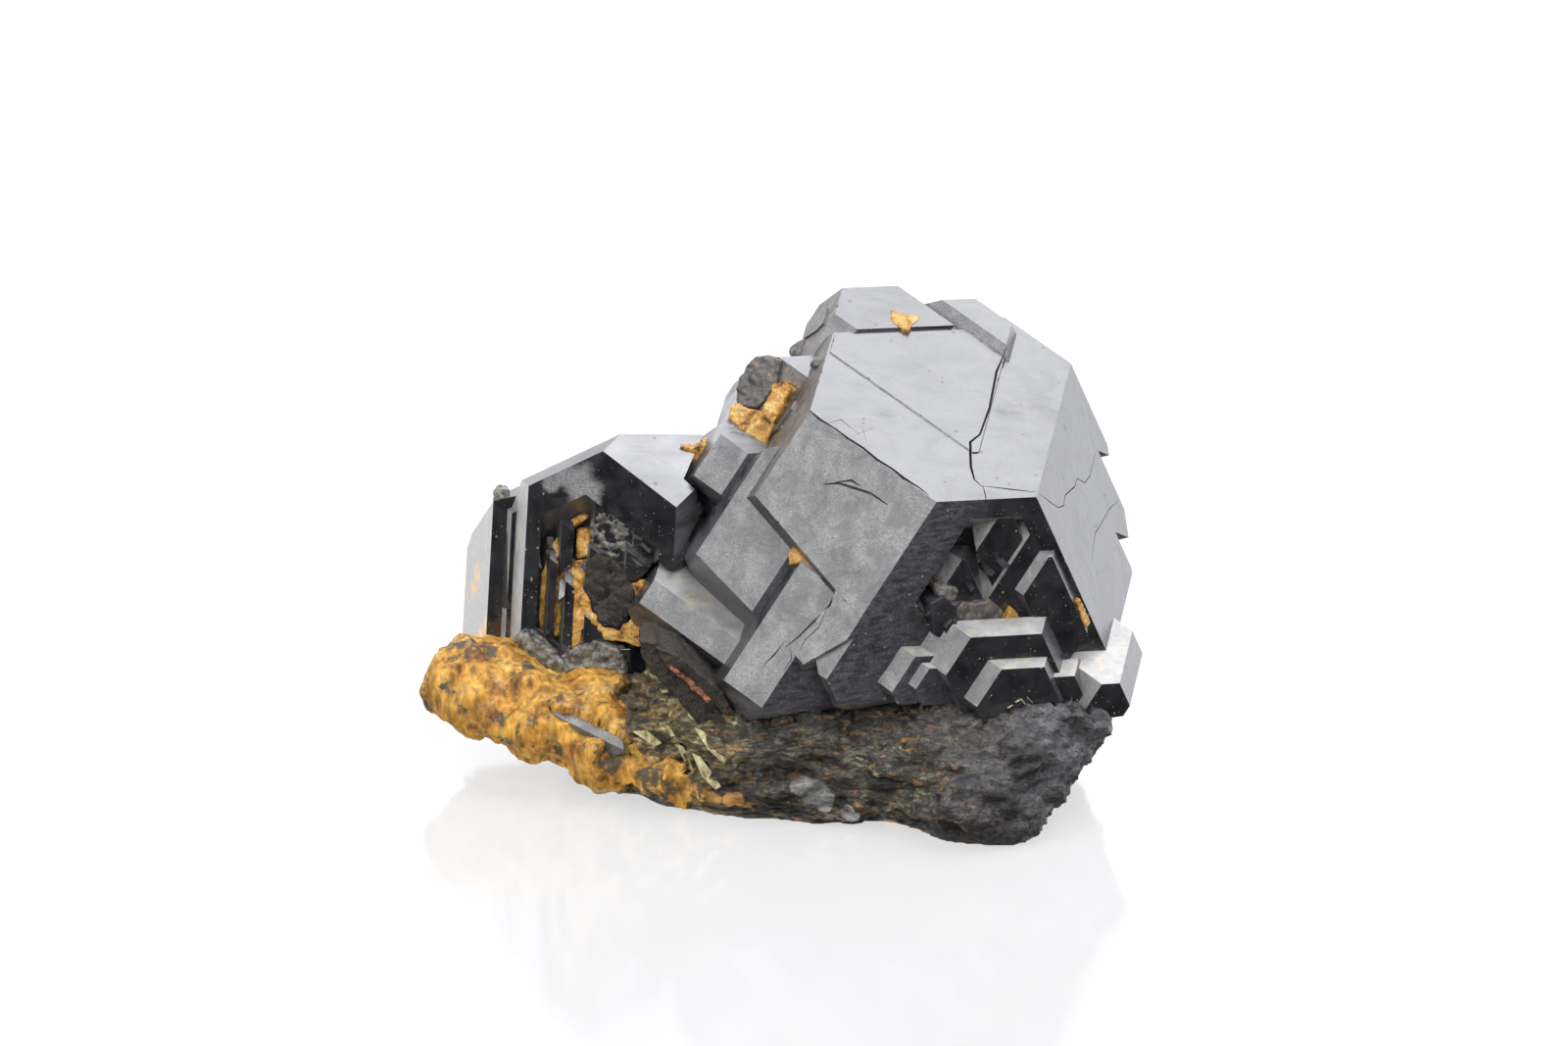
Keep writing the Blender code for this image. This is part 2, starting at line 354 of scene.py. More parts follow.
def finished(material, colour, roughness, normal=None, ior=1.5, **more):
    """The material with its shader fed; more holds further inputs, with _ for each space in a name."""
    values = {"Base Color": colour, "Roughness": roughness, "IOR": ior}
    if normal:
        values["Normal"] = normal
    values.update({name.replace("_", " "): value for name, value in more.items()})
    feed(material.node_tree.nodes["Principled BSDF"], values)
    return material


def grains(place, size, detail=3.0, roughness=0.55, stretch=(1, 1, 1), turn=(0, 0, 0), warp=0.0):
    """Noise with features of a size in millimetres, stretched along turned axes."""
    mapping = add_node("Mapping", {"Vector": place, "Scale": stretch, "Rotation": turn})
    return add_node("TexNoise", {"Vector": mapping.outputs[0], "Scale": 1 / (size * MM), "Detail": detail,
                                 "Roughness": roughness, "Distortion": warp}).outputs["Fac"]


def rgba(colour):
    """A colour, or a grey given as one number, with its alpha."""
    return (colour, colour, colour, 1) if isinstance(colour, (int, float)) else (*colour, 1)


def ramp(value, stops):
    """Colours or greys at places along a value."""
    node = add_node("ValToRGB", {"Fac": value})
    line = node.color_ramp.elements
    while len(line) < len(stops):
        line.new(0.5)
    for element, (place, colour) in zip(line, stops):
        element.position = place
        element.color = rgba(colour)
    return node.outputs["Color"]


def mix(share, first, second, way="MIX"):
    """Two colours or greys blended by a share from 0 to 1, or multiplied by the way MULTIPLY."""
    values = {0: share}
    for index, value in ((6, first), (7, second)):
        values[index] = value if is_socket(value) else rgba(value)
    return add_node("Mix", values, data_type="RGBA", blend_type=way).outputs[2]


def relief(*layers):
    """Bumps on one another; layers are (height, depth in millimetres, strength)."""
    normal = None
    for height, depth, strength in layers:
        values = {"Height": height, "Distance": depth * MM, "Strength": strength}
        if normal:
            values["Normal"] = normal
        normal = add_node("Bump", values).outputs["Normal"]
    return normal


def rightward(place):
    """How far a place lies to the right of the specimen's middle, in metres."""
    return add_node("SeparateXYZ", {"Vector": place}).outputs["X"]


def depth_along(place, axes, direction):
    """How far a place lies along a crystal direction, in millimetres from the crystal's corner."""
    way = (axes.to_3x3() @ Vector(direction)).normalized()
    along = add_node("VectorMath", {0: place, 1: way}, operation="DOT_PRODUCT").outputs["Value"]
    return calc("MULTIPLY_ADD", along, 1 / MM, -axes.translation.dot(way) / MM)


def patches(place, pixels, axes, normal, distance, wobble, edge=0.35):
    """Mask of blotches with uneven rims, by the pixel of their centre and their radius in millimetres."""
    total = None
    for x, y, radius in pixels:
        point = axes @ seen_on((x, y), axes, normal, distance)
        apart = add_node("VectorMath", {0: place, 1: point}, operation="DISTANCE").outputs["Value"]
        rim = calc("MULTIPLY_ADD", wobble, -RIM_WOBBLE, calc("MULTIPLY", apart, 1 / (radius * MM)))
        mask = rise(rim, RIM_MIDDLE + edge, RIM_MIDDLE - edge)
        total = calc("MAXIMUM", total, mask) if total else mask
    return total


def dust(place, size, share):
    """Mask of tiny separate grains: one per cell, in only a share of the cells."""
    cells = add_node("TexVoronoi", {"Vector": place, "Scale": 1 / (size * MM), "Randomness": 1.0})
    tone = add_node("SeparateColor", {"Color": cells.outputs["Color"]}).outputs["Red"]
    grain = rise(cells.outputs["Distance"], DUST_RADIUS, DUST_SOLID)
    return calc("MULTIPLY", grain, calc("LESS_THAN", tone, share))


# Materials

# Blotches, by their centre's pixel and their radius in millimetres: dull smudges on the bright top, dull patches
# on the black front of the left crystal, and orange stains on its far left plate
SMUDGES = [(1040, 418, 0.9), (1058, 420, 1.0), (1074, 424, 0.8), (1022, 421, 0.5), (905, 425, 0.7),
           (880, 395, 0.6)]
FROST = [(577, 484, 0.8), (589, 490, 1.0), (597, 502, 1.0), (603, 514, 0.7), (563, 494, 0.5)]
SIDE_STAINS = [(487, 588, 0.8), (483, 602, 0.6), (508, 626, 0.8), (496, 640, 0.7), (490, 652, 0.8),
               (504, 655, 0.5)]

# The same on the rock: a pale slate patch and an orange rim
SLATE = [(818, 800, 0.8), (830, 810, 1.0), (841, 818, 0.7), (868, 828, 0.6)]
ORANGE_RIM = [(660, 812, 0.8), (690, 815, 0.9), (722, 816, 0.9), (748, 818, 0.7), (914, 836, 0.7), (932, 843, 0.8),
              (946, 847, 0.6)]


def bright_black():
    """Mirror-like faces that look pale in the light: softly mottled, with faint streaks and a few stains."""
    material, place = new_material("bright_black")
    mottle = grains(place, 3.2, 5, 0.62, (1, 1, 2.2), (0.3, 0.2, 0.5), 0.8)
    streak = grains(place, 0.7, 3, 0.5, (0.16, 1, 1), (0.1, 0.1, 0.55))
    fine = grains(place, 0.14, 3, 0.6)
    broad = grains(place, 6.0, 3, 0.5, warp=0.5)
    specks = dust(place, 0.8, 0.22)
    stain = ramp(grains(place, 1.3, 4, 0.7), [(0.66, 0.0), (0.74, 0.5)])
    colour = mix(ramp(mottle, [(0.35, 0.0), (0.7, 1.0)]), (0.004, 0.004, 0.005), (0.085, 0.084, 0.09))
    colour = mix(stain, colour, (0.06, 0.055, 0.05))
    colour = mix(specks, colour, (0.12, 0.09, 0.05))
    rough = ramp(mottle, [(0.3, 0.1), (0.52, 0.22), (0.72, 0.42)])
    rough = mix(ramp(streak, [(0.4, 0.0), (0.7, 0.5)]), rough, 0.4)
    smudge = patches(place, SMUDGES, BIG, TOP, 0.0, mottle, 0.6)
    rough = mix(calc("MULTIPLY", smudge, ramp(streak, [(0.4, 0.1), (0.6, 0.9)])), rough, 0.55)
    rough = mix(ramp(broad, [(0.42, 0.0), (0.66, 0.55)]), rough, 0.55)
    rough = mix(specks, rough, 0.7)
    normal = relief((mottle, 0.2, 0.4), (streak, 0.03, 0.4), (fine, 0.01, 0.4))
    return finished(material, colour, rough, normal, 2.35)


def glassy_black():
    """Black glassy front faces: a painted greyish sheen near the long edge, where the surface is also more satin,
    dull patches and scattered pale dust.
    """
    material, place = new_material("glassy_black")
    cloud = grains(place, 1.4, 5, 0.65, warp=0.7)
    ripple = grains(place, 0.8, 3, 0.5, (1, 1, 3), (0.4, 0.3, 0))
    fine = grains(place, 0.12, 3, 0.6)
    grain = ramp(fine, [(0.35, 0.25), (0.65, 1.0)])
    near_edge = rise(depth_along(place, BIG, (1, 0, 0)), -3.4, -1.6)
    lower_left = rise(depth_along(place, BIG, (0, -1, 0)), 2.6, 4.4)
    on_big = rise(rightward(place), -0.006, -0.002)
    # Painted sheen: near the long edge and on the lower left of the big crystal, the colour turns a lighter
    # purple-grey that stands in for reflected light. The same mask also makes the surface more satin.
    satin_and_painted_sheen = calc("MULTIPLY", calc("MAXIMUM", near_edge, lower_left), on_big)
    frost = patches(place, FROST, SMALL, TOP, 0.0, cloud)
    colour = ramp(cloud, [(0.35, (0.008, 0.008, 0.009)), (0.7, (0.03, 0.03, 0.033))])
    # The rippled, lighter purple-grey colour of the painted sheen
    painted_sheen_colour = mix(1.0, ramp(ripple, [(0.3, (0.03, 0.029, 0.036)), (0.7, (0.13, 0.127, 0.145))]), grain, "MULTIPLY")
    colour = mix(satin_and_painted_sheen, colour, painted_sheen_colour)
    colour = mix(frost, colour, mix(1.0, (0.25, 0.245, 0.24), grain, "MULTIPLY"))
    specks = calc("MAXIMUM", dust(place, 0.38, 0.14), dust(place, 0.17, 0.16))
    colour = mix(specks, colour, (0.3, 0.27, 0.2))
    rough = mix(satin_and_painted_sheen, ramp(cloud, [(0.3, 0.12), (0.7, 0.25)]), 0.42)
    rough = mix(frost, rough, 0.7)
    return finished(material, colour, rough, relief((ripple, 0.04, 0.5), (fine, 0.012, 0.5)), 2.1)


def sooty_black():
    """Cube faces with a sooty, finely granular film, scoured along the crystal."""
    material, place = new_material("sooty_black")
    grain = grains(place, 0.1, 4, 0.7)
    cloud = grains(place, 1.6, 5, 0.65, warp=0.6)
    fibre = grains(place, 0.25, 3, 0.55, (1, 1, 0.1), (0.5, 0.35, 0))
    scour = grains(place, 0.9, 4, 0.6, (1, 1, 0.3), (0.5, 0.35, 0))
    colour = ramp(grain, [(0.28, (0.025, 0.025, 0.023)), (0.46, (0.112, 0.111, 0.102)),
                          (0.66, (0.24, 0.238, 0.215))])
    colour = mix(ramp(cloud, [(0.38, 0.8), (0.58, 0.0)]), colour, (0.05, 0.049, 0.046))
    colour = mix(0.7, colour, ramp(scour, [(0.36, 0.45), (0.6, 1.15)]), "MULTIPLY")
    colour = mix(dust(place, 0.4, 0.5), colour, (0.015, 0.014, 0.013))
    rough = ramp(cloud, [(0.3, 0.52), (0.7, 0.36)])
    normal = relief((cloud, 0.12, 0.5), (fibre, 0.03, 0.5), (grain, 0.035, 0.8))
    return finished(material, colour, rough, normal, 2.2)


def satin_black():
    """The right-hand cube faces: smooth, with faint stains."""
    material, place = new_material("satin_black")
    cloud = grains(place, 2.3, 5, 0.65, warp=0.8)
    fine = grains(place, 0.12, 3, 0.6)
    stain = ramp(grains(place, 1.0, 4, 0.7), [(0.6, 0.0), (0.7, 0.7)])
    colour = ramp(cloud, [(0.3, (0.03, 0.03, 0.034)), (0.7, (0.06, 0.059, 0.062))])
    colour = mix(stain, colour, (0.02, 0.02, 0.021))
    rough = mix(stain, ramp(cloud, [(0.3, 0.16), (0.7, 0.34)]), 0.45)
    return finished(material, colour, rough, relief((cloud, 0.1, 0.45), (fine, 0.012, 0.4)), 2.3)


def crack_dark():
    """Inside of cracks and chips."""
    material, place = new_material("crack_dark")
    colour = ramp(grains(place, 0.1, 3), [(0.4, (0.008, 0.007, 0.006)), (0.75, (0.08, 0.06, 0.04))])
    return finished(material, colour, 0.7)


def brown_skin():
    """Rough brown-grey growth skin on the upper left of the big crystal."""
    material, place = new_material("brown_skin")
    cloud = grains(place, 0.9, 5, 0.7, warp=0.5)
    grain = grains(place, 0.12, 4, 0.65)
    rust = ramp(grains(place, 0.6, 4, 0.7), [(0.56, 0.0), (0.66, 0.8)])
    colour = ramp(cloud, [(0.32, (0.03, 0.027, 0.022)), (0.5, (0.11, 0.1, 0.085)), (0.68, (0.24, 0.22, 0.19))])
    colour = mix(rust, colour, (0.32, 0.2, 0.09))
    colour = mix(0.7, colour, ramp(grain, [(0.3, 0.2), (0.7, 1.0)]), "MULTIPLY")
    return finished(material, colour, 0.45, relief((cloud, 0.2, 0.8), (grain, 0.05, 0.9)), 1.9)


def stained_side():
    """Satin grey plate on the far left, with orange stains."""
    material, place = new_material("stained_side")
    cloud = grains(place, 1.1, 4, 0.6)
    fine = grains(place, 0.12, 3, 0.6)
    streaks = grains(place, 0.5, 4, 0.7, (0.5, 0.5, 2.2))
    colour = ramp(cloud, [(0.3, (0.2, 0.2, 0.195)), (0.7, (0.4, 0.395, 0.38))])
    colour = mix(ramp(streaks, [(0.55, 0.0), (0.62, 0.7)]), colour, (0.5, 0.4, 0.22))
    spots = patches(place, SIDE_STAINS, SMALL, LEFT, 8.95, cloud, 0.25)
    spots = calc("MULTIPLY", spots, ramp(streaks, [(0.4, 0.0), (0.48, 1.0)]))
    colour = mix(spots, colour, (0.75, 0.42, 0.08))
    rough = ramp(cloud, [(0.3, 0.3), (0.7, 0.45)])
    return finished(material, colour, rough, relief((cloud, 0.08, 0.5), (fine, 0.02, 0.5)), 2.1)


def dark_rock():
    """Layered rock: black and olive bands, rusty and pale yellow grains, smoother and greyer to the right."""
    material, place = new_material("dark_rock")
    bands = grains(place, 1.6, 6, 0.7, (0.6, 0.85, 2.1), (0.12, -0.1, 0), 0.8)
    grain = grains(place, 0.25, 4, 0.7, (0.9, 1, 1.6), warp=0.5)
    rust = grains(place, 0.9, 5, 0.72, (0.7, 1, 2.0), (0.1, 0.1, 0.4), 0.5)
    straw = grains(place, 0.6, 4, 0.7, (0.6, 1, 1.9), (0.3, -0.3, 0.9), 0.5)
    chunks = grains(place, 2.4, 4, 0.6, (0.8, 1, 1.5), (0.2, 0.3, 0.4), 0.8)
    across = rightward(place)
    colour = ramp(bands, [(0.36, 0.004), (0.46, (0.022, 0.02, 0.017)), (0.54, (0.12, 0.105, 0.062)),
                          (0.6, (0.012, 0.012, 0.011)), (0.68, (0.11, 0.105, 0.1))])
    colour = mix(0.85, colour, ramp(grain, [(0.38, 0.05), (0.6, 1.5)]), "MULTIPLY")
    colour = mix(ramp(rust, [(0.56, 0.0), (0.64, 0.8)]), colour, (0.4, 0.19, 0.05))
    colour = mix(ramp(straw, [(0.62, 0.0), (0.7, 0.7)]), colour, (0.5, 0.44, 0.22))
    olive = ramp(straw, [(0.36, (0.025, 0.02, 0.012)), (0.46, (0.24, 0.14, 0.035)), (0.56, (0.34, 0.28, 0.12)),
                         (0.68, (0.62, 0.55, 0.32))])
    olive = mix(0.8, olive, ramp(grain, [(0.36, 0.1), (0.6, 1.2)]), "MULTIPLY")
    left = calc("MULTIPLY", rise(across, -0.002, -0.005), ramp(bands, [(0.42, 0.15), (0.55, 1.0)]))
    colour = mix(left, colour, olive)
    slate = mix(0.6, (0.34, 0.335, 0.31), ramp(grain, [(0.36, 0.3), (0.6, 1.0)]), "MULTIPLY")
    colour = mix(patches(place, SLATE, WORLD, FRONT_WALL, 12.0, chunks, 0.07), colour, slate)
    grey = ramp(grain, [(0.36, 0.006), (0.62, (0.12, 0.112, 0.115))])
    grey = mix(ramp(rust, [(0.62, 0.0), (0.7, 0.5)]), grey, (0.22, 0.15, 0.08))
    colour = mix(rise(across, 0.008, 0.015), colour, grey)
    colour = mix(patches(place, ORANGE_RIM, WORLD, FRONT_WALL, 11.0, bands, 0.08), colour, (0.5, 0.24, 0.05))
    colour = mix(0.9, colour, ramp(chunks, [(0.4, 0.25), (0.5, 0.8), (0.62, 1.5)]), "MULTIPLY")
    rough = ramp(bands, [(0.35, 0.25), (0.6, 0.6)])
    return finished(material, colour, rough, relief((bands, 0.4, 0.9), (grain, 0.08, 0.9)), 1.6)


def amber_crust():
    """Fibrous amber crust, waxy: orange, brown hollows, straw-coloured blades and a few dark patches."""
    material, place = new_material("amber_crust")
    knobs = grains(place, 1.7, 5, 0.6, warp=0.4)
    fibre = grains(place, 0.45, 4, 0.62, (1, 1, 0.22), (0.3, 0.25, 0))
    dark = grains(place, 2.2, 5, 0.7)
    straw = grains(place, 1.4, 4, 0.6, (0.5, 1, 1.6), (0, 0.5, 0))
    colour = ramp(knobs, [(0.34, (0.22, 0.085, 0.012)), (0.45, (0.5, 0.23, 0.025)), (0.58, (0.7, 0.37, 0.05)),
                          (0.72, (0.82, 0.5, 0.13))])
    colour = mix(ramp(straw, [(0.56, 0.0), (0.7, 0.5)]), colour, (0.75, 0.58, 0.24))
    colour = mix(0.7, colour, ramp(fibre, [(0.36, 0.15), (0.62, 1.15)]), "MULTIPLY")
    dark = calc("ADD", dark, rise(rightward(place), -0.016, -0.006, 0.1))
    colour = mix(ramp(dark, [(0.57, 0.0), (0.63, 0.92)]), colour, (0.06, 0.055, 0.035))
    return finished(material, colour, 0.62, relief((knobs, 0.2, 0.5), (fibre, 0.2, 0.9)), Subsurface_Weight=0.25,
                    Subsurface_Radius=(0.0008, 0.0004, 0.0001), Subsurface_Scale=1.0)


def ochre():
    """Orange fillings, crystalline: clear orange with brown seams and pale grains."""
    material, place = new_material("ochre")
    area = grains(place, 0.8, 5, 0.65, warp=0.4)
    grain = grains(place, 0.14, 3, 0.6)
    colour = ramp(area, [(0.34, (0.07, 0.035, 0.014)), (0.43, (0.4, 0.18, 0.035)), (0.55, (0.66, 0.36, 0.07)),
                         (0.7, (0.8, 0.58, 0.25))])
    colour = mix(0.6, colour, ramp(grain, [(0.32, 0.2), (0.62, 1.15)]), "MULTIPLY")
    return finished(material, colour, 0.5, relief((area, 0.15, 0.6), (grain, 0.05, 0.8)))


def grey_rock():
    """Mottled grey-green lumps that sit in the hollow of the left crystal."""
    material, place = new_material("grey_rock")
    area = grains(place, 0.7, 5, 0.7, warp=0.5)
    grain = grains(place, 0.12, 3, 0.65)
    colour = ramp(area, [(0.34, 0.01), (0.46, (0.07, 0.068, 0.055)), (0.56, (0.26, 0.24, 0.17)),
                         (0.64, (0.05, 0.05, 0.042))])
    colour = mix(0.6, colour, ramp(grain, [(0.3, 0.2), (0.65, 1.1)]), "MULTIPLY")
    return finished(material, colour, 0.42, relief((area, 0.15, 0.7), (grain, 0.04, 0.8)), 1.9)


def straw_yellow():
    """Pale fibrous blades."""
    material, place = new_material("straw_yellow")
    fibre = grains(place, 0.3, 4, 0.65, (1, 1, 0.3), (0.5, 0.6, 0))
    colour = ramp(fibre, [(0.34, (0.14, 0.11, 0.04)), (0.5, (0.48, 0.42, 0.2)), (0.66, (0.72, 0.68, 0.45))])
    return finished(material, colour, 0.5, relief((fibre, 0.12, 0.9)))


def red_ochre():
    """Red-orange streak on the slanted slab."""
    material, place = new_material("red_ochre")
    grain = grains(place, 0.25, 4, 0.65)
    colour = ramp(grain, [(0.4, (0.05, 0.03, 0.02)), (0.62, (0.42, 0.15, 0.06))])
    return finished(material, colour, 0.6, relief((grain, 0.1, 0.8)))


# Light and floor

# Bright fields of the studio: where they are seen from the specimen, inner and outer half-angle, strength
SOFTBOXES = [
    ((0.3, 0.27, 0.9), 22, 46, 3.3),
    ((0.36, -0.08, 0.93), 12, 28, 1.6),
    ((0.62, 0.78, -0.06), 22, 42, 1.65),
    ((-0.3, 0.94, 0.12), 24, 44, 1.6),
    ((-0.72, -0.38, 0.58), 14, 28, 3.9),
    ((-0.6, 0.4, -0.7), 20, 45, 0.7),
    ((0.1, -0.75, 0.65), 10, 26, 4.5),
]
ALL_ROUND = 0.035
LIGHT_TINT = (0.975, 0.985, 1.03)
FLOOR_SIZE = 6000.0


def add_studio():
    world = bpy.data.worlds.new("studio")
    bpy.context.scene.world = world
    world.use_nodes = True
    tree = world.node_tree
    way = tree.nodes.new("ShaderNodeTexCoord").outputs["Generated"]
    total = ALL_ROUND
    for direction, inner, outer, strength in SOFTBOXES:
        nearness = add_node("VectorMath", {0: way, 1: Vector(direction).normalized()}, operation="DOT_PRODUCT")
        field = add_node("MapRange", {
            "Value": nearness.outputs["Value"], "From Min": cos(radians(outer)), "From Max": cos(radians(inner)),
            "To Max": strength}, interpolation_type="SMOOTHSTEP")
        total = calc("ADD", field.outputs[0], total)
    feed(tree.nodes["Background"], {"Color": mix(1.0, total, LIGHT_TINT, "MULTIPLY")})


def add_floor():
    deselect()
    bpy.ops.mesh.primitive_plane_add(size=FLOOR_SIZE * MM)
    floor = bpy.context.object
    floor.name = "floor"
    floor.visible_glossy = False
    material = new_material("white_floor")[0]
    paint(floor, finished(material, rgba(0.17), 0.1, ior=1.45, Emission_Color=rgba(1), Emission_Strength=0.62))


# Finishes by the direction of a face; EXTRA is straw yellow on the large crystals, grey rock on the left one

BRIGHT, GLASSY, SOOTY, SATIN, DARK, BROWN, SIDE, EXTRA = range(8)
SHINY_DIRECTIONS = [Vector((x, y, z)).normalized() for x in (-1, 1) for y in (-1, 1) for z in (-1, 1)]
SAME_WAY = 0.93  # cosine between octahedron directions that count as the same
CUBE_WAY = 0.9  # the same for cube directions


def looks_along(normal, way):
    """Whether a face looks along an octahedron direction."""
    return normal.dot(way.normalized()) > SAME_WAY


def part_by_faces(body, axes, materials, chosen):
    """Give each face the finish that goes with its direction; chosen(normal, place) may name another one."""
    paint(body, *materials)
    to_crystal = axes.inverted()
    turned = to_crystal.to_3x3()
    for face in body.data.polygons:
        normal = (turned @ face.normal).normalized()
        finish = SATIN if abs(normal.y) > CUBE_WAY else SOOTY
        if any(looks_along(normal, way) for way in SHINY_DIRECTIONS):
            finish = BRIGHT
        special = chosen(normal, to_crystal @ face.center)
        face.material_index = finish if special is None else special


def big_finish(normal, place):
    """The front octahedral faces are glassy, the narrow tops below them grey; the upper left skin is rough."""
    low_step = place.x + place.y + place.z < -11
    upper_left = place.z > 3 and place.y > -13.5
    left_end = place.x < -5 and place.y < -9
    if looks_along(normal, TOP) and low_step:
        return SIDE
    if looks_along(normal, FRONT):
        return GLASSY
    if looks_along(normal, SKIN) and upper_left or normal.x > CUBE_WAY and left_end:
        return BROWN
    return None


def left_finish(normal, place):
    """On the left crystal the front is glassy and the cube face on top is the bright one."""
    far_left = place.x > 7
    if looks_along(normal, TOP):
        return GLASSY
    if normal.z > CUBE_WAY:
        return BRIGHT
    if normal.x > CUBE_WAY and far_left:
        return SIDE
    return None


# Growth plates and chips on the crystals

LARGE_FACE = 20.0  # square millimetres; smaller faces carry no plates
PLATE_LENGTH = (1.2, 4.0)
PLATE_WIDTH = (0.5, 2.2)
PLATE_RISE = (0.06, 0.2)
PLATE_ROOT = 0.2
PLATE_OFF_CENTRE = 0.6  # how far towards a corner it may lie, as a share
PLATE_ROOM = (0.6, 0.4)  # its most length and width, by the room up to a corner
PLATE_OUTLINE = ((-1, -0.6), (-0.5, -1), (1, -0.8), (1, 0.7), (0.4, 1), (-1, 0.9))
PARALLEL = 0.95  # cosine between directions that count as the same
LEVEL = 0.05  # cosine under which an edge lies in a face
LATTICE = [(1, 0, 0), (0, 1, 0), (0, 0, 1), (1, -1, 0), (0, 1, -1), (1, 0, -1), (1, 1, 0), (0, 1, 1), (1, 0, 1)]
BIG_PLATED = [(-1, 1, 1), (-1, 0, 0), (-1, 1, -1), (0, -1, 0), (-1, -1, 1), (-1, -1, -1), (1, -1, 1)]
LEFT_PLATED = [(-1, 0, 0), (-1, -1, -1), (0, -1, 0), (-1, -1, 1), (1, -1, 1), (0, 0, -1), (-1, 1, -1)]

FLAT_WITHIN = 2  # degrees between triangles that are one face
CHIPPED_EDGE = 1.5  # shorter edges stay whole
CHIPPED_ABOVE = 6.0  # so do those near the ground
CHIPPED_BEND = 25  # and those with fewer degrees between their faces
CHIPS_APART = 0.5
CHIP_RADIUS = (0.5, 1.3)  # by the size that is asked for
CHIP_LENGTH = (1.2, 2.6)  # by its radius
CHIP_OUTSIDE = 0.62  # how far its cutter stands off the edge, by its radius
TRIES = 6  # for each chip, to find a free place


def growth_plates(body, axes, ways, count, rng):
    """Low plates with crystal-edged outlines on the large faces that point certain ways."""
    turned = axes.to_3x3().inverted()
    edges = [Vector(edge).normalized() for edge in LATTICE]
    fields = []
    for face in body.data.polygons:
        normal = (turned @ face.normal).normalized()
        carries = any(normal.dot(Vector(way).normalized()) > PARALLEL for way in ways)
        if carries and face.area > LARGE_FACE * MM * MM:
            corners = [body.data.vertices[index].co.copy() for index in face.vertices]
            fields.append((face.center.copy(), face.normal.copy(), normal, corners, face.area))
    for step in range(count):
        centre, facing, normal, corners, area = rng.choices(fields, [field[4] for field in fields])[0]
        place = centre.lerp(rng.choice(corners), rng.uniform(0.0, PLATE_OFF_CENTRE))
        lying = [edge for edge in edges if abs(edge.dot(normal)) < LEVEL]
        first, second = rng.sample(lying, 2)
        if abs(first.dot(second)) > PARALLEL:
            continue
        first, second = ((axes.to_3x3() @ way).normalized() for way in (first, second))
        room = min((corner - place).length for corner in corners) / MM
        long = min(rng.uniform(*PLATE_LENGTH), PLATE_ROOM[0] * room)
        wide = min(rng.uniform(*PLATE_WIDTH), PLATE_ROOM[1] * room)
        height = rng.uniform(*PLATE_RISE)
        low = place - facing * PLATE_ROOT * MM
        outline = [low + (first * u * long + second * v * wide) * MM for u, v in PLATE_OUTLINE]
        combine(body, prism("plate", outline, Matrix.Identity(4), facing * (PLATE_ROOT + height) * MM), "UNION")


def chips_along(body, count, size, rng):
    """Small cutters that nick the sharp outer edges; size is about their radius."""
    mesh = body.data
    sides = {}
    for face in mesh.polygons:
        for key in face.edge_keys:
            sides.setdefault(key, []).append(face)
    spans = []
    for (first, second), faces in sides.items():
        a = mesh.vertices[first].co
        b = mesh.vertices[second].co
        if len(faces) != 2 or (b - a).length < CHIPPED_EDGE * MM or min(a.z, b.z) < CHIPPED_ABOVE * MM:
            continue
        bend = faces[0].normal.angle(faces[1].normal, 0)
        outward = (faces[1].center - faces[0].center).dot(faces[0].normal) < 0
        if bend > radians(CHIPPED_BEND) and outward:
            spans.append((a.copy(), b.copy(), (faces[0].normal + faces[1].normal).normalized()))
    weights = [(b - a).length for a, b, away in spans]
    tools = []
    places = []
    tries = 0
    while len(tools) < count and tries < TRIES * count:
        tries += 1
        a, b, away = rng.choices(spans, weights)[0]
        place = a.lerp(b, rng.uniform(0.04, 0.96))
        if any((place - other).length < CHIPS_APART * MM for other in places):
            continue
        places.append(place)
        radius = size * rng.uniform(*CHIP_RADIUS)
        deselect()
        bpy.ops.mesh.primitive_ico_sphere_add(subdivisions=1, radius=radius * MM)
        tool = bpy.context.object
        turn = (b - a).normalized().to_track_quat("X", "Z").to_matrix().to_4x4()
        stretch = Matrix.Diagonal((rng.uniform(*CHIP_LENGTH), 1, 1, 1))
        spin = Euler([rng.uniform(0, 3) for axis in range(3)]).to_matrix().to_4x4()
        centre = place + away * radius * CHIP_OUTSIDE * MM
        tool.data.transform(Matrix.Translation(centre) @ turn @ stretch @ spin)
        tools.append(tool)
    return tools


def cut_dark(body, tools):
    """Cut with several cutters at once; the cut surfaces take the dark finish."""
    tool = paint(join("cracks", tools), *body.data.materials)
    for face in tool.data.polygons:
        face.material_index = DARK
    combine(body, tool, "DIFFERENCE")


def worn_crystals(node, axes, materials, chosen, ways, rng, plates, rounding, chips, chip_size):
    """A copy of a crystal node with growth plates, its finishes, rounded edges and chips."""
    body = merged_copy(node)
    edit(body)
    bpy.ops.mesh.dissolve_limited(angle_limit=radians(FLAT_WITHIN))
    done_editing()
    growth_plates(body, axes, ways, plates, rng)
    part_by_faces(body, axes, materials, chosen)
    round_edges(body, rounding)
    cut_dark(body, chips_along(body, chips, chip_size, rng))
    return body


def small_pieces(rows, axes, materials):
    """Slabs by rows: name, finish, plane's direction, distance along it, thickness, skin, outlines."""
    return [slab(name, outline, axes, *plane, materials[finish], skin)
            for name, finish, *plane, skin, outlines in rows for outline in outlines]


def hand_in(bodies, node):
    """Join the bodies into the one piece that stands for a node."""
    body = join(node + "_detail", bodies)
    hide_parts(node)
    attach(body, "root")


# Noise of rough skins: size, amount, flatness, seed
LAYERED = [(0.9, 0.16, 1.0, 5.0), (0.3, 0.08, 1.0, 8.0)]
BLOCKY = [(1.2, 0.22, 1.0, 3.0), (0.4, 0.12, 1.0, 6.0), (0.2, 0.05, 1.0, 9.0)]
RUGGED = [(0.5, 0.16, 1.0, 7.0), (0.2, 0.07, 1.0, 4.0)]


# Large crystals

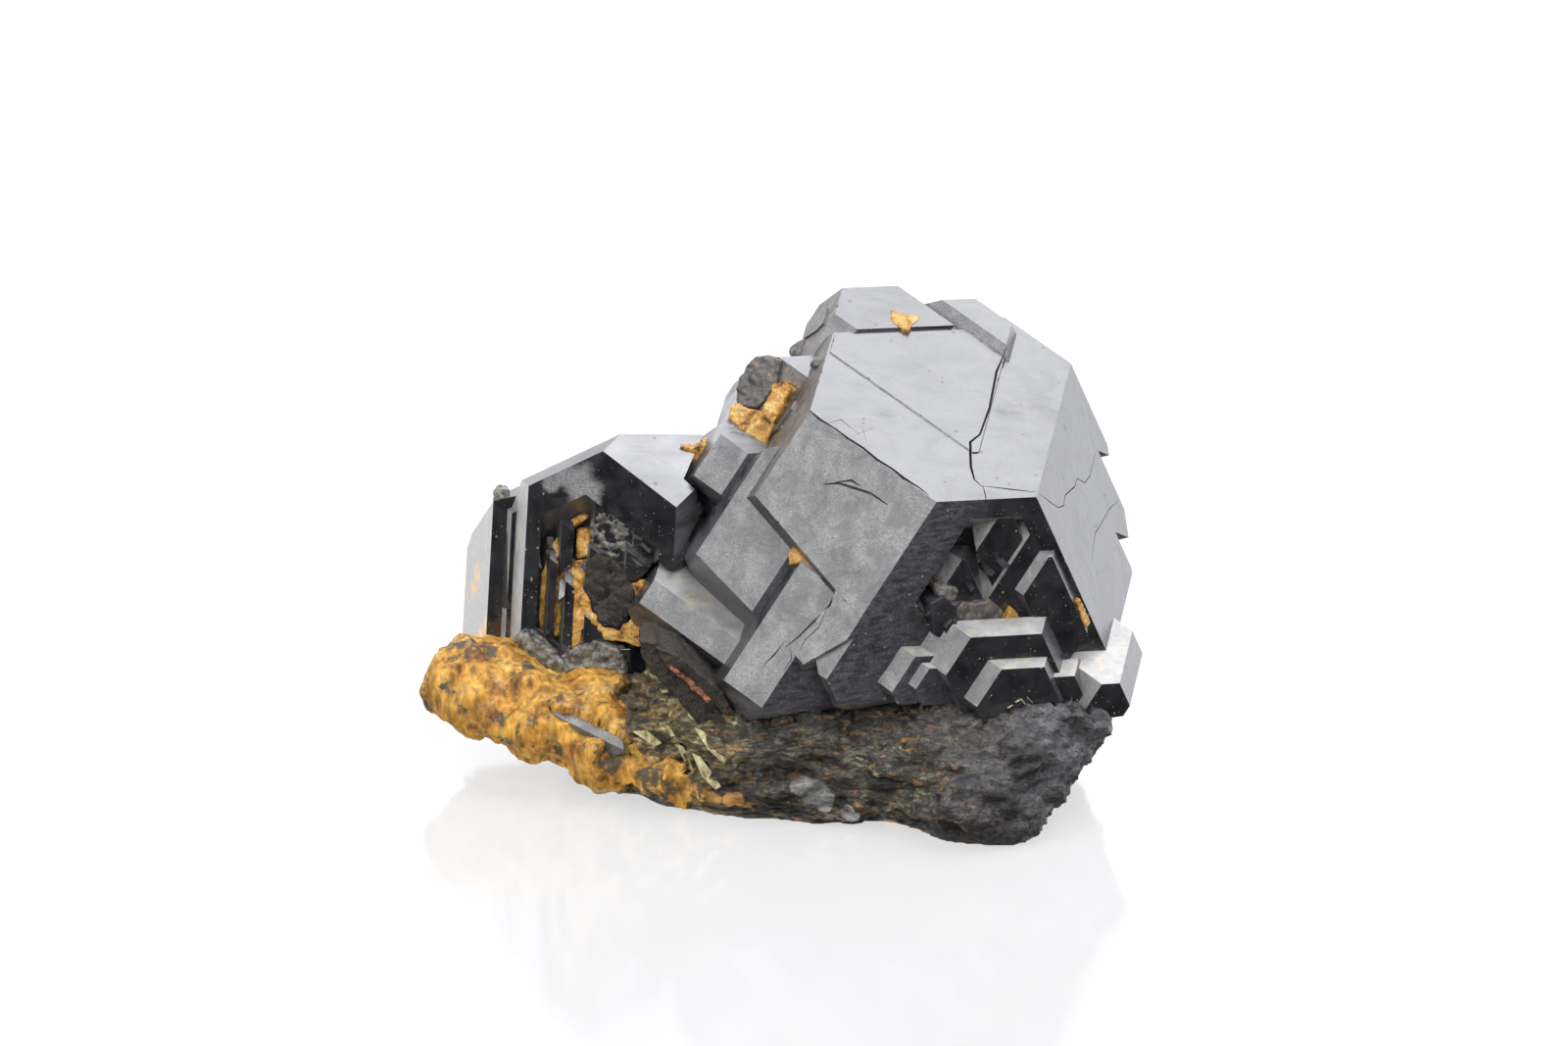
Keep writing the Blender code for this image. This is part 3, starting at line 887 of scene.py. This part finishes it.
# Cracks: face, distance along its direction, width, depth, and the pixels that they follow
CRACKS = [
    (TOP, 0.15, 0.15, 0.4, [(1025.7, 358.6), (1016.9, 379), (1009.7, 416), (1000, 443), (990, 451), (991, 475),
                            (994.6, 488), (1003, 495.7)]),
    (TOP, 0.0, 0.12, 0.3, [(1003, 495.7), (1030, 499), (1057.6, 502)]),
    (TOP, 0.0, 0.1, 0.25, [(1003, 495.7), (1005, 503), (1006.5, 512.4)]),
    (RIGHT, 4.7, 0.07, 0.2, [(1060.7, 503.6), (1070, 511), (1080, 518), (1085.5, 515.6), (1087, 505), (1097, 496),
                             (1099, 488), (1107, 492.5), (1113, 484.5), (1118, 464)]),
    (RIGHT, 4.7, 0.06, 0.15, [(1144, 508), (1131.8, 520), (1125, 532), (1117.5, 544), (1114, 572)]),
    (LEFT, 0.0, 0.2, 0.05, [(840, 494), (856, 493), (869, 497), (888, 503), (906, 515)]),
    (LEFT, 0.0, 0.16, 0.05, [(852, 492), (869, 490), (878, 496)]),
    (LEFT, 0.0, 0.13, 0.5, [(830, 583), (838, 592), (851, 606), (846, 618), (830, 630), (812, 648), (797, 660)]),
    (LEFT, 0.0, 0.06, 0.2, [(843, 622), (835, 640), (822, 652), (815, 664)]),
    (TOP, 0.0, 0.06, 0.12, [(842, 432), (858, 428), (878, 444)]),
    (TOP, 0.0, 0.06, 0.12, [(872, 444), (892, 436)]),
    (TOP, 0.0, 0.06, 0.12, [(884, 450), (880, 436)]),
    (LEFT, -0.5, 0.08, 0.3, [(800, 655), (790, 668), (778, 680)]),
    (LEFT, -0.5, 0.08, 0.3, [(806, 660), (808, 672), (800, 684)]),
]

# Worn line beside the edge between the top and the left face: how far along it, and how far behind it
WORN_EDGE = [(0.5, 0.3), (1.1, 0.5), (1.9, 0.2), (2.6, 0.45), (3.4, 0.15), (4.3, 0.5), (5.1, 0.25), (5.8, 0.4),
             (6.7, 0.1), (7.5, 0.5), (8.4, 0.3), (9.2, 0.45), (10.1, 0.2), (11.0, 0.55), (11.8, 0.3), (12.5, 0.4)]
ALONG_EDGE = Vector((0, -1, 1))
BEHIND_EDGE = Vector((-0.24, 0.12, 0.12))
WORN_WIDTH = 0.17
WORN_DEPTH = 0.12
WORN_CUTTER_RISE = 0.2

TOP_LUMPS = [((820, 360), 14.4, (0.9, 0.9, 0.7)), ((836, 372), 14.3, (0.6, 0.6, 0.5))]
UPPER_LUMP = [(751, 409), (753, 390), (760, 373), (772, 364), (788, 362), (797, 368), (792, 392), (784, 404),
              (772, 415), (758, 416)]
FRONT_LUMPS = [
    [(976, 622), (985, 614), (999, 616), (1012, 613), (1024, 624), (1019, 636), (1004, 643), (988, 641),
     (978, 634)],
    [(956, 600), (968, 597), (978, 603), (974, 612), (960, 612)],
]
FRONT_FLECKS = [
    [(1013, 564), (1019, 567), (1031, 577), (1024, 580), (1018, 574)],
    [(1005, 581), (1011, 580), (1016, 584), (1012, 588), (1007, 586)],
    [(987, 597), (993, 596), (995, 600), (991, 604)],
]
FRONT_CRYSTALS = [
    [(950, 616), (962, 609), (976, 620), (978, 640), (968, 655), (953, 648)],
    [(964, 640), (972, 632), (984, 642), (980, 656), (968, 660)],
]

BIG_PIECES = [
    ("upper_lump", BROWN, LEFT, -4.9, 3.2, BLOCKY, [UPPER_LUMP]),
    ("front_lump", BROWN, FRONT, 0.75, 1.6, BLOCKY, FRONT_LUMPS),
    ("front_fleck", BRIGHT, FRONT, 0.5, 1.2, None, FRONT_FLECKS),
    ("front_crystal", GLASSY, FRONT, 1.1, 1.8, 0.05, FRONT_CRYSTALS[:1]),
    ("front_crystal", GLASSY, FRONT, 1.4, 1.8, 0.05, FRONT_CRYSTALS[1:]),
]

# Straw-coloured curls on the front six-sided crystal
CURLS = [
    [(1036, 716), (1042, 713), (1047, 720)],
    [(1044, 726), (1050, 722), (1057, 727), (1061, 723)],
    [(1038, 727), (1043, 733), (1040, 738)],
    [(1052, 730), (1056, 736), (1051, 740)],
    [(1048, 711), (1053, 716)],
    [(1028, 722), (1033, 719)],
]
CURL_DISTANCE = 5.0
CURL_WIDTH = 0.11
CURL_RISE = 0.12
CURL_ROOT = 0.05


def worn_edge(rng):
    """Cutter for the worn line beside the long edge of the top."""
    top = TOP.normalized()
    path = [along * ALONG_EDGE + behind * BEHIND_EDGE + WORN_CUTTER_RISE * top for along, behind in WORN_EDGE]
    return prism("worn_edge", ribbon(path, top, WORN_WIDTH, rng), BIG, -(WORN_CUTTER_RISE + WORN_DEPTH) * top)


def build_large_crystals(materials):
    rng = Random(7)
    body = worn_crystals("large_crystals", BIG, materials, big_finish, BIG_PLATED, rng,
                         plates=34, rounding=0.045, chips=130, chip_size=0.13)
    cracks = [crack(*row, rng) for row in CRACKS]
    for tool in cracks + [worn_edge(rng)]:
        cut_dark(body, [tool])
    shade(body, smooth=False)
    lumps = [rough_ball("top_lump", ball, BIG, SKIN, materials[BROWN], BLOCKY) for ball in TOP_LUMPS]
    lumps += small_pieces(BIG_PIECES, BIG, materials)
    facing = FRONT.normalized()
    for pixels in CURLS:
        path = [place - CURL_ROOT * facing for place in seen_outline(pixels, BIG, FRONT, CURL_DISTANCE)]
        curl = prism("straw_curl", ribbon(path, facing, CURL_WIDTH, rng), BIG, CURL_RISE * facing)
        lumps.append(paint(curl, materials[EXTRA]))
    hand_in([body] + lumps, "large_crystals")


# Left crystal and what fills its hollow

HOLLOW_LUMPS = [
    [(602, 530), (616, 522), (634, 524), (648, 536), (645, 556), (634, 568), (616, 574), (604, 562)],
    [(572, 668), (590, 658), (612, 655), (630, 662), (636, 680), (640, 700), (626, 716), (606, 712), (588, 700)],
    [(524, 652), (536, 640), (552, 650), (566, 664), (584, 690), (596, 706), (578, 704), (552, 690), (530, 676)],
]
PITTED_BLOCK = [(596, 574), (608, 566), (624, 570), (640, 584), (646, 602), (642, 626), (630, 640), (614, 636),
                (604, 622), (596, 600)]
BRIGHT_FACETS = [
    [(645, 539), (650, 534), (661, 543), (656, 549), (648, 545)],
    [(655, 553), (661, 550), (670, 557), (664, 561)],
    [(640, 563), (646, 561), (655, 571), (665, 568), (661, 579), (651, 576)],
    [(594, 575), (600, 571), (603, 576), (598, 580)],
    [(571, 592), (577, 590), (576, 608), (570, 612)],
]
BLACK_BLOCKS = [
    [(631, 662), (643, 662), (643, 697), (631, 695)],
    [(616, 704), (640, 708), (660, 699), (660, 716), (640, 729), (616, 716)],
    [(593, 642), (605, 632), (618, 637), (620, 652), (605, 659), (594, 653)],
]
SIDE_SLOT = [(511, 546), (517, 542), (517, 621), (511, 619)]
SIDE_KNOB = ((512, 506), 8.2, (0.55, 0.7, 0.75))
FACET_DISTANCE = -1.0  # the facets' height is read at this distance along TOP
FACET_THICKNESS = 0.4
LEFT_PIECES = [
    ("hollow_lump", EXTRA, TOP, -1.6, 1.2, RUGGED, HOLLOW_LUMPS[:1]),
    ("hollow_lump", EXTRA, TOP, 0.2, 1.2, RUGGED, HOLLOW_LUMPS[1:2]),
    ("hollow_lump", EXTRA, TOP, 0.5, 1.2, RUGGED, HOLLOW_LUMPS[2:]),
    ("pitted_block", DARK, TOP, -0.8, 0.7, BLOCKY, [PITTED_BLOCK]),
    ("side_slot", DARK, LEFT, 8.19, 0.3, None, [SIDE_SLOT]),
    ("black_block", GLASSY, TOP, -0.7, 1.8, 0.04, BLACK_BLOCKS),
]


def build_left_crystal(materials):
    rng = Random(11)
    body = worn_crystals("left_crystal", SMALL, materials, left_finish, LEFT_PLATED, rng,
                         plates=16, rounding=0.035, chips=40, chip_size=0.1)
    shade(body, smooth=False)
    extras = small_pieces(LEFT_PIECES, SMALL, materials)
    extras.append(rough_ball("side_knob", SIDE_KNOB, SMALL, LEFT, materials[EXTRA], BLOCKY[1:]))
    for outline in BRIGHT_FACETS:
        height = seen_on(outline[0], SMALL, TOP, FACET_DISTANCE).z
        extras.append(slab("bright_facet", outline, SMALL, UP, height, FACET_THICKNESS, materials[BRIGHT]))
    hand_in([body] + extras, "left_crystal")


# Rock and crust

# The slanted dark slab under the left bar, and the red-orange streak on it
DARK_SLAB = [(652, 654), (668, 656), (704, 690), (745, 738), (742, 758), (722, 752), (690, 712), (655, 672)]
SLAB_LAYER = [(668, 660), (690, 668), (738, 706), (752, 732), (738, 730), (700, 694), (676, 676)]
RED_STREAK = [(683, 680), (690, 683), (700, 690), (706, 692), (715, 703), (727, 716), (722, 717), (712, 708),
              (703, 702), (697, 694), (688, 689)]

BLACK, RED = range(2)
ROCK_PIECES = [
    ("layer", BLACK, FRONT_WALL, 9.3, 4.0, LAYERED, [DARK_SLAB]),
    ("layer", BLACK, FRONT_WALL, 9.6, 4.0, LAYERED, [SLAB_LAYER]),
    ("red_streak", RED, FRONT_WALL, 9.8, 0.6, LAYERED, [RED_STREAK]),
]

# Straw-coloured blades that lie on the lower left of the rock
STRAW_BLADES = [
    [(708, 742), (718, 746), (742, 774), (739, 780), (722, 764)],
    [(677, 738), (684, 742), (696, 764), (690, 762)],
    [(706, 768), (715, 772), (736, 802), (730, 806), (716, 792)],
    [(661, 686), (670, 690), (683, 706), (676, 707)],
    [(645, 746), (660, 745), (676, 758), (668, 762)],
    [(690, 758), (697, 762), (708, 786), (702, 786)],
    [(690, 712), (698, 716), (712, 734), (705, 734)],
]

# Relief: size, amount, flatness, seed
ROCK_FORMS = [(3.2, 0.55, 1.6, 4.0), (1.3, 0.42, 1.8, 9.0)]
ROCK_GRAIN = [(0.55, 0.24, 1.5, 2.0), (0.28, 0.09, 1.3, 6.0)]
CRUST_FORMS = [(1.8, 0.42, 0.7, 1.0), (0.8, 0.2, 0.4, 6.0), (0.35, 0.13, 0.3, 3.0), (0.2, 0.07, 0.4, 8.0)]
SEAM_REACH = 0.5
SEAM_OVERLAP = 0.12
TERRACE_FROM = 0.6  # height above the ground
LAYER_SLOPE = (0.12, -0.1)  # how much the rock's layers fall to the right and to the front
LAYER_WAVE = 0.5  # how high their waves are, and how long
LAYER_WAVE_SIZE = 3.5
BLADE_RISE = 0.2
BLADE_THICKNESS = 0.7
BLADE_ROUNDING = 0.05


def blade(pixels, body, material):
    """A thin piece that lies on a body where the camera sees some pixels."""
    mesh = body.data
    walls = BVHTree.FromPolygons([vert.co for vert in mesh.vertices], [face.vertices[:] for face in mesh.polygons])
    outline = [walls.ray_cast(camera_place() * MM, sight(pixel))[0] - sight(pixel) * BLADE_RISE * MM
               for pixel in pixels]
    piece = prism("straw_blade", outline, Matrix.Identity(4), sight(pixels[0]) * BLADE_THICKNESS * MM)
    round_edges(piece, BLADE_ROUNDING)
    return paint(piece, material)


def close_seams(body, neighbours):
    """Press the surface against its neighbours where the solids keep a clearance."""
    places = []
    faces = []
    for node in neighbours:
        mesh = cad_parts[node].data
        start = len(places)
        places += [vert.co.copy() for vert in mesh.vertices]
        faces += [[start + index for index in face.vertices] for face in mesh.polygons]
    walls = BVHTree.FromPolygons(places, faces)
    for vert in body.data.vertices:
        place, normal = walls.find_nearest(vert.co, SEAM_REACH * MM)[:2]
        if place is not None:
            vert.co = place - normal * SEAM_OVERLAP * MM


def terraces(body, thickness, amount):
    """Pull the surface towards even layers, so that it breaks in steps like layered rock."""
    moves = []
    for vert in body.data.vertices:
        place = vert.co / MM
        wave = LAYER_WAVE * noise.noise(Vector((place.x, place.y, 0)) / LAYER_WAVE_SIZE)
        level = place.z + LAYER_SLOPE[0] * place.x + LAYER_SLOPE[1] * place.y + wave
        share = level / thickness % 1
        steep = max(0, 1 - abs(vert.normal.z))
        inwards = amount * (abs(share - 0.5) * 2) ** 3 * steep
        moves.append(vert.normal * -inwards * MM)
    for vert, move in zip(body.data.vertices, moves):
        if vert.co.z > TERRACE_FROM * MM:
            vert.co += move


def build_matrix(material, red, black, straw):
    body = merged_copy("matrix")
    refine(body, mesh_size=0.24)
    weather(body, ROCK_FORMS)
    terraces(body, thickness=0.9, amount=0.24)
    weather(body, ROCK_GRAIN)
    close_seams(body, ("large_crystals", "left_crystal", "orange_crust"))
    paint(body, material)
    shade(body)
    layers = small_pieces(ROCK_PIECES, WORLD, (black, red))
    blades = [blade(pixels, body, straw) for pixels in STRAW_BLADES]
    hand_in([body] + layers + blades, "matrix")


def build_crust(material):
    body = merged_copy("orange_crust")
    refine(body, mesh_size=0.18)
    weather(body, CRUST_FORMS)
    close_seams(body, ("large_crystals", "left_crystal", "matrix", "bar_crystal"))
    paint(body, material)
    shade(body)
    hand_in([body], "orange_crust")


# Fillings and bar

UPPER_ORANGE = [(744, 428), (746, 414), (752, 411), (764, 417), (776, 420), (783, 408), (787, 391), (799, 387),
                (806, 396), (798, 416), (788, 434), (779, 457), (764, 444)]
WEDGE_ORANGE = [(693, 447), (706, 450), (722, 446), (717, 462), (710, 467), (703, 458)]
NOTCH_ORANGE = [(804, 577), (806, 562), (810, 553), (820, 562), (828, 574), (830, 580), (818, 574)]
FRONT_ORANGE = [(1033, 620), (1041, 630), (1047, 644), (1030, 644), (1012, 640), (1024, 634)]
SLOT_ORANGE = [(1097, 614), (1103, 612), (1113, 636), (1108, 641)]
GROOVE_ORANGE = [(909, 316), (918, 318), (930, 320), (941, 321), (937, 327), (931, 331), (927, 338), (919, 334),
                 (911, 329)]

# In the hollow of the left crystal: outline, and distance along TOP
HOLLOW_ORANGE = [
    ([(549, 650), (551, 600), (558, 562), (568, 548), (571, 566), (560, 575), (560, 655)], -1.9),
    ([(566, 572), (584, 574), (598, 570), (600, 606), (590, 590), (574, 590), (570, 650), (564, 650)], -1.9),
    ([(584, 590), (596, 600), (604, 622), (616, 640), (606, 656), (594, 640), (592, 656), (582, 662)], -0.75),
    ([(588, 541), (598, 540), (604, 552), (603, 566), (588, 570)], -1.9),
    ([(612, 640), (630, 644), (644, 632), (652, 614), (668, 630), (664, 650), (652, 660), (636, 656),
      (618, 652)], -0.7),
    ([(640, 596), (656, 592), (654, 612), (645, 612)], -0.9),
    ([(577, 533), (592, 525), (597, 528), (582, 540)], -1.9),
]
HOLLOW_THICKNESS = 1.0

# Outline, axes, plane, distance along it, thickness
FILLINGS = {
    "top_filling": [(GROOVE_ORANGE, BIG, TOP, 0.55, 0.5)],
    "upper_filling": [(UPPER_ORANGE, BIG, LEFT, -4.3, 1.5), (WEDGE_ORANGE, WORLD, BACK_WALL, 2.6, 1.4)],
    "notch_filling": [(NOTCH_ORANGE, BIG, LEFT, -0.7, 1.2)],
    "front_filling": [(FRONT_ORANGE, BIG, FRONT, 0.9, 1.4), (SLOT_ORANGE, BIG, FRONT, 0.95, 0.8)],
    "hollow_filling": [(outline, SMALL, TOP, rise, HOLLOW_THICKNESS) for outline, rise in HOLLOW_ORANGE],
}


def build_fillings(material):
    for node, pieces in FILLINGS.items():
        slabs = [slab(node, *piece, material, LAYERED, mesh_size=0.08) for piece in pieces]
        hand_in(slabs, node)


def build_bar(material):
    body = paint(merged_copy("bar_crystal"), material)
    round_edges(body, 0.03)
    shade(body, smooth=False)
    hand_in([body], "bar_crystal")


bpy.context.scene.view_settings.view_transform = "Standard"
add_camera()
add_studio()
add_floor()
finishes = [bright_black(), glassy_black(), sooty_black(), satin_black(), crack_dark(), brown_skin(),
            stained_side()]
straw = straw_yellow()
build_large_crystals(finishes + [straw])
build_left_crystal(finishes + [grey_rock()])
build_matrix(dark_rock(), red_ochre(), finishes[DARK], straw)
build_crust(amber_crust())
build_fillings(ochre())
build_bar(finishes[SOOTY])
